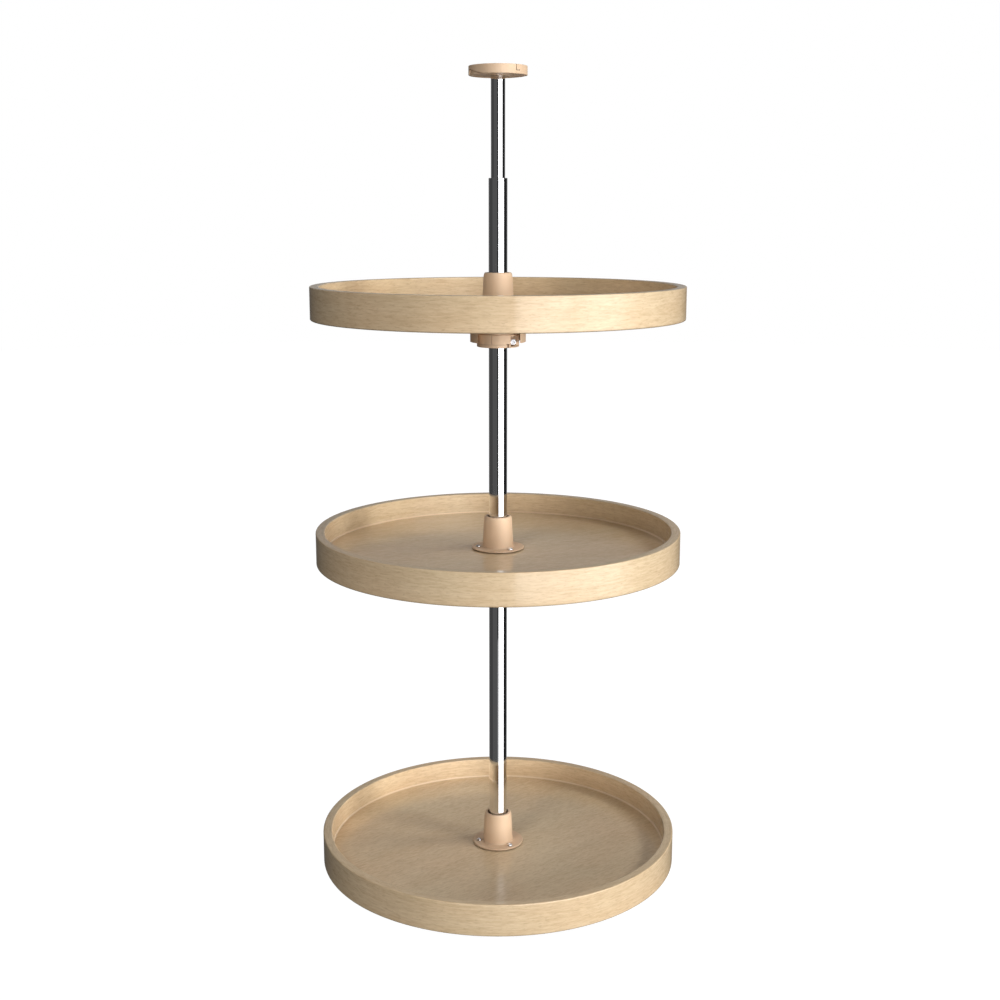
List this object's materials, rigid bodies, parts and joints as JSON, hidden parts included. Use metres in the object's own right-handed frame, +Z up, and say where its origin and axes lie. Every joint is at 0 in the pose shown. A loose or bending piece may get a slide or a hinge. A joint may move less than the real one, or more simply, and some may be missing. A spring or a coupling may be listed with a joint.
{
  "type": "pantry turntable",
  "caption": "Round wooden pantry trays with rims that turn and slide on a telescoping chrome post, each on a plastic hub and a split clamp collar, with a base and a ceiling mount.",
  "frame": {"origin": "on the post's axis, where the base plate meets the cabinet floor", "axes": "+Z up along the post, -Y towards the front of the picture, +X to the right"},
  "size_m": [0.508, 0.508, 1.17],
  "materials": {
    "wood_band": "pale maple veneer band, satin lacquer",
    "wood_floor": "pale maple veneer panel, satin lacquer",
    "almond_plastic": "moulded, satin",
    "chrome_tube": "polished plate",
    "screw_chrome": "polished plate",
    "bearing_steel": "ground",
    "white_nylon": "moulded, matte"
  },
  "bodies": {
    "root": {"base_plate": "almond_plastic", "foot_plug": "bearing_steel", "foot_bolt": "bearing_steel", "lower_tube": "chrome_tube", "guide_bush": "white_nylon"},
    "lock": {"lock_sleeve": "white_nylon"},
    "upper_post": {"lock_stud": "bearing_steel", "upper_tube": "chrome_tube", "top_end_plug": "white_nylon"},
    "top_mount": {"mount_shell": "almond_plastic", "mount_plate": "almond_plastic"},
    "top_collar": {"top_clamp_collar": "almond_plastic", "top_clamp_screw": "screw_chrome", "top_clamp_nut": "screw_chrome", "top_lower_race": "bearing_steel"},
    "top_bearing": {"top_balls": "bearing_steel", "top_ball_cage": "white_nylon"},
    "top_tray": {"top_rim": "wood_band", "top_floor": "wood_floor", "top_hub": "almond_plastic", "top_hub_screws": "screw_chrome", "top_bearing_cup": "almond_plastic", "top_upper_race": "bearing_steel"},
    "middle_collar": {"middle_clamp_collar": "almond_plastic", "middle_clamp_screw": "screw_chrome", "middle_clamp_nut": "screw_chrome", "middle_lower_race": "bearing_steel"},
    "middle_bearing": {"middle_balls": "bearing_steel", "middle_ball_cage": "white_nylon"},
    "middle_tray": {"middle_rim": "wood_band", "middle_floor": "wood_floor", "middle_hub": "almond_plastic", "middle_hub_screws": "screw_chrome", "middle_bearing_cup": "almond_plastic", "middle_upper_race": "bearing_steel"},
    "bottom_collar": {"bottom_clamp_collar": "almond_plastic", "bottom_clamp_screw": "screw_chrome", "bottom_clamp_nut": "screw_chrome", "bottom_lower_race": "bearing_steel"},
    "bottom_bearing": {"bottom_balls": "bearing_steel", "bottom_ball_cage": "white_nylon"},
    "bottom_tray": {"bottom_rim": "wood_band", "bottom_floor": "wood_floor", "bottom_hub": "almond_plastic", "bottom_hub_screws": "screw_chrome", "bottom_bearing_cup": "almond_plastic", "bottom_upper_race": "bearing_steel"}
  },
  "joints": [
    {"name": "post_slide", "type": "slide", "parent": "root", "child": "lock", "axis": [0, 0, 1], "range_m": [-0.12, 0.14]},
    {"name": "post_twist", "type": "hinge", "parent": "lock", "child": "upper_post", "pos_m": [0, 0, 0.82], "axis": [0, 0, 1], "range_deg": [0, 180]},
    {"name": "mount_swivel", "type": "hinge", "parent": "upper_post", "child": "top_mount", "pos_m": [0, 0, 1.16], "axis": [0, 0, 1], "continuous": true},
    {"name": "top_height", "type": "slide", "parent": "root", "child": "top_collar", "axis": [0, 0, 1], "range_m": [-0.08, 0.11]},
    {"name": "top_spin", "type": "hinge", "parent": "top_collar", "child": "top_tray", "pos_m": [0, 0, 0.8355], "axis": [0, 0, 1], "continuous": true},
    {"name": "top_ball_orbit", "type": "hinge", "parent": "top_collar", "child": "top_bearing", "pos_m": [0, 0, 0.8355], "axis": [0, 0, 1], "continuous": true},
    {"name": "middle_height", "type": "slide", "parent": "root", "child": "middle_collar", "axis": [0, 0, 1], "range_m": [-0.15, 0.08]},
    {"name": "middle_spin", "type": "hinge", "parent": "middle_collar", "child": "middle_tray", "pos_m": [0, 0, 0.499], "axis": [0, 0, 1], "continuous": true},
    {"name": "middle_ball_orbit", "type": "hinge", "parent": "middle_collar", "child": "middle_bearing", "pos_m": [0, 0, 0.499], "axis": [0, 0, 1], "continuous": true},
    {"name": "bottom_height", "type": "slide", "parent": "root", "child": "bottom_collar", "axis": [0, 0, 1], "range_m": [0, 0.1]},
    {"name": "bottom_spin", "type": "hinge", "parent": "bottom_collar", "child": "bottom_tray", "pos_m": [0, 0, 0.057], "axis": [0, 0, 1], "continuous": true},
    {"name": "bottom_ball_orbit", "type": "hinge", "parent": "bottom_collar", "child": "bottom_bearing", "pos_m": [0, 0, 0.057], "axis": [0, 0, 1], "continuous": true}
  ],
  "couplings": [
    {"joint": "top_ball_orbit", "follows": "top_spin", "ratio": 0.5},
    {"joint": "middle_ball_orbit", "follows": "middle_spin", "ratio": 0.5},
    {"joint": "bottom_ball_orbit", "follows": "bottom_spin", "ratio": 0.5}
  ]
}
